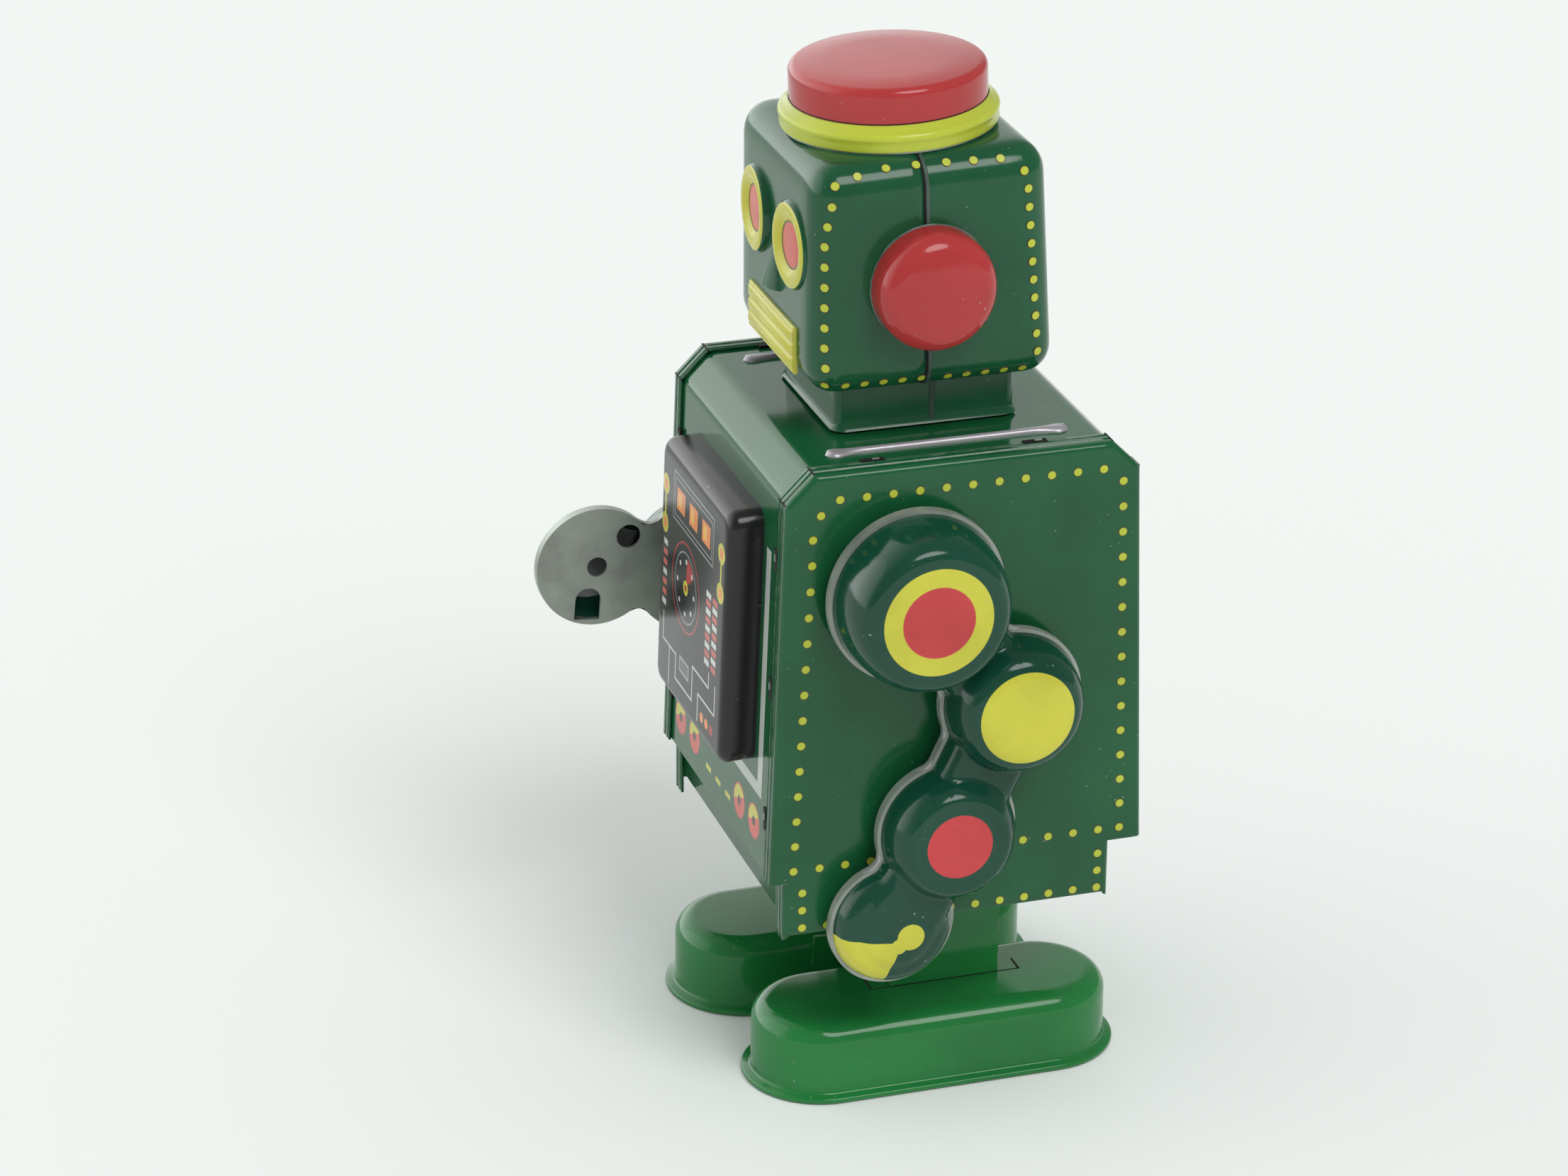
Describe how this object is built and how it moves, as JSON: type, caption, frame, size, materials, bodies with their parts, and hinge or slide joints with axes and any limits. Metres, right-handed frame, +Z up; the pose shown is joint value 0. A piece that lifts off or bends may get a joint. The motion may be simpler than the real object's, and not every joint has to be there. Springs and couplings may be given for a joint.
{
  "type": "wind-up tin robot",
  "caption": "Clockwork walking robot of printed tinplate: boxy body and head, round cap and ears, turning arms, swinging legs on rollers.",
  "frame": {"origin": "on the floor, in the middle of the toy's overall width and length", "axes": "+Z up, -Y the way the robot faces, +X its own left side"},
  "size_m": [0.0788, 0.073, 0.1452],
  "materials": {
    "body_tin": "satin lithographed enamel",
    "chest_tin": "satin lithographed enamel",
    "head_tin": "satin lithographed enamel",
    "red_tin": "gloss enamel",
    "arm_tin": "gloss lithographed enamel",
    "foot_tin": "gloss enamel",
    "bare_tin": "dull tinplate",
    "movement_steel": "plain steel",
    "spring_steel": "blued steel",
    "wheel_brass": "plain brass",
    "nickel": "dull nickel plate",
    "roller_plastic": "matte black"
  },
  "bodies": {
    "body": {"body_wrap": "body_tin", "side_plate_left": "body_tin", "side_plate_right": "body_tin", "chest_cover": "chest_tin", "head_front": "head_tin", "head_rear": "head_tin", "head_cap": "red_tin", "ear_left": "red_tin", "ear_right": "red_tin", "shoulder_bush_left": "movement_steel", "shoulder_bush_right": "movement_steel", "shoulder_spring_left": "spring_steel", "shoulder_spring_right": "spring_steel", "movement_plate_left": "movement_steel", "movement_plate_right": "movement_steel", "movement_pillars": "movement_steel", "mainspring": "spring_steel", "leg_pivot_left": "movement_steel", "leg_pivot_right": "movement_steel"},
    "arm_left": {"arm_shell_left": "arm_tin", "arm_back_left": "bare_tin", "shoulder_rivet_left": "movement_steel"},
    "arm_right": {"arm_shell_right": "arm_tin", "arm_back_right": "bare_tin", "shoulder_rivet_right": "movement_steel"},
    "winding": {"winding_arbor": "movement_steel", "winding_key": "nickel", "ratchet_wheel": "wheel_brass", "great_wheel": "wheel_brass", "click": "movement_steel", "click_spring": "spring_steel"},
    "crank": {"crank_arbor": "movement_steel", "crank_wheel": "wheel_brass", "crank_disc_left": "movement_steel", "crank_disc_right": "movement_steel"},
    "third": {"third_arbor": "movement_steel", "third_wheel": "wheel_brass"},
    "escape": {"escape_arbor": "movement_steel", "escape_wheel": "wheel_brass"},
    "pallet": {"pallet_arbor": "movement_steel", "pallet_lever": "movement_steel"},
    "leg_left": {"leg_left": "foot_tin", "foot_left": "foot_tin", "roller_bracket_left": "movement_steel", "roller_axle_left": "movement_steel"},
    "leg_right": {"leg_right": "foot_tin", "foot_right": "foot_tin", "roller_bracket_right": "movement_steel", "roller_axle_right": "movement_steel"},
    "roller_left": {"foot_roller_left": "roller_plastic"},
    "roller_right": {"foot_roller_right": "roller_plastic"}
  },
  "joints": [
    {"name": "arm_left_swing", "type": "hinge", "parent": "body", "child": "arm_left", "pos_m": [0.029, 0.00054, 0.0791], "axis": [1, 0, 0], "continuous": true},
    {"name": "arm_right_swing", "type": "hinge", "parent": "body", "child": "arm_right", "pos_m": [-0.029, 0.01824, 0.0791], "axis": [1, 0, 0], "range_deg": [-258, 4]},
    {"name": "crank_turn", "type": "hinge", "parent": "body", "child": "crank", "pos_m": [0, 0.00914, 0.04435], "axis": [1, 0, 0], "continuous": true},
    {"name": "winding_turn", "type": "hinge", "parent": "body", "child": "winding", "pos_m": [0, 0.02254, 0.046], "axis": [1, 0, 0], "continuous": true},
    {"name": "third_turn", "type": "hinge", "parent": "body", "child": "third", "pos_m": [0, 0.00175, 0.05316], "axis": [1, 0, 0], "continuous": true},
    {"name": "escape_turn", "type": "hinge", "parent": "body", "child": "escape", "pos_m": [0, 0.00421, 0.06234], "axis": [1, 0, 0], "continuous": true},
    {"name": "pallet_rock", "type": "hinge", "parent": "body", "child": "pallet", "pos_m": [0, 0.00861, 0.06996], "axis": [1, 0, 0], "range_deg": [-4, 4]},
    {"name": "leg_left_swing", "type": "hinge", "parent": "body", "child": "leg_left", "pos_m": [0.012, 0.01154, 0.062], "axis": [1, 0, 0], "range_deg": [-6.1, 2.8]},
    {"name": "leg_right_swing", "type": "hinge", "parent": "body", "child": "leg_right", "pos_m": [-0.012, 0.01154, 0.062], "axis": [1, 0, 0], "range_deg": [-2.8, 6.1]},
    {"name": "roller_left_turn", "type": "hinge", "parent": "leg_left", "child": "roller_left", "pos_m": [0.014, 0.02554, 0.0034], "axis": [1, 0, 0], "continuous": true},
    {"name": "roller_right_turn", "type": "hinge", "parent": "leg_right", "child": "roller_right", "pos_m": [-0.014, 0.02264, 0.0034], "axis": [1, 0, 0], "continuous": true}
  ],
  "couplings": [
    {"joint": "crank_turn", "follows": "winding_turn", "ratio": -3.5},
    {"joint": "third_turn", "follows": "winding_turn", "ratio": 12.6},
    {"joint": "escape_turn", "follows": "winding_turn", "ratio": -47.25},
    {"joint": "leg_right_swing", "follows": "leg_left_swing", "ratio": -1}
  ]
}
